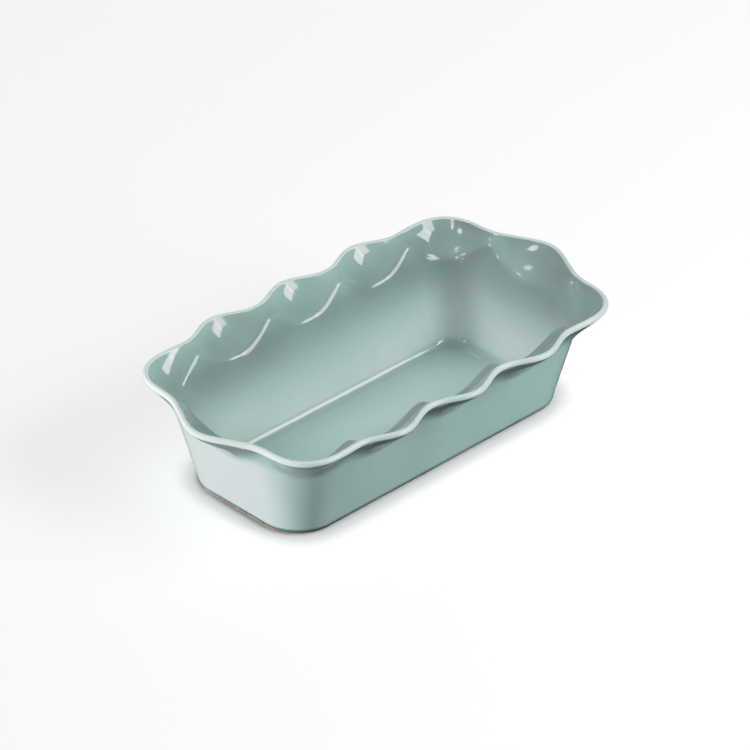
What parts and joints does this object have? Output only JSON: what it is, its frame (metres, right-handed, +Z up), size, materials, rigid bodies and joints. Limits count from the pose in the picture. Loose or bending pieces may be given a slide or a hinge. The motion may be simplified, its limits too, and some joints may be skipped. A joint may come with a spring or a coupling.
{
  "type": "loaf pan",
  "caption": "Rectangular glazed stoneware loaf dish with leaning walls and a scalloped, ruffled rim that flares out all round.",
  "frame": {"origin": "middle of the dish, on the surface that it stands on", "axes": "+Z up out of the mouth, +X along the length of the dish, +Y across it"},
  "size_m": [0.3046, 0.1734, 0.0726],
  "materials": {
    "bare_clay": "matte, unglazed, fine sandy grain",
    "sea_green_glaze": "high gloss, pale where it runs thin over edges"
  },
  "bodies": {
    "root": {"clay_body": "bare_clay", "inside_glaze": "sea_green_glaze", "outside_glaze": "sea_green_glaze", "underside_glaze": "sea_green_glaze"}
  },
  "joints": []
}
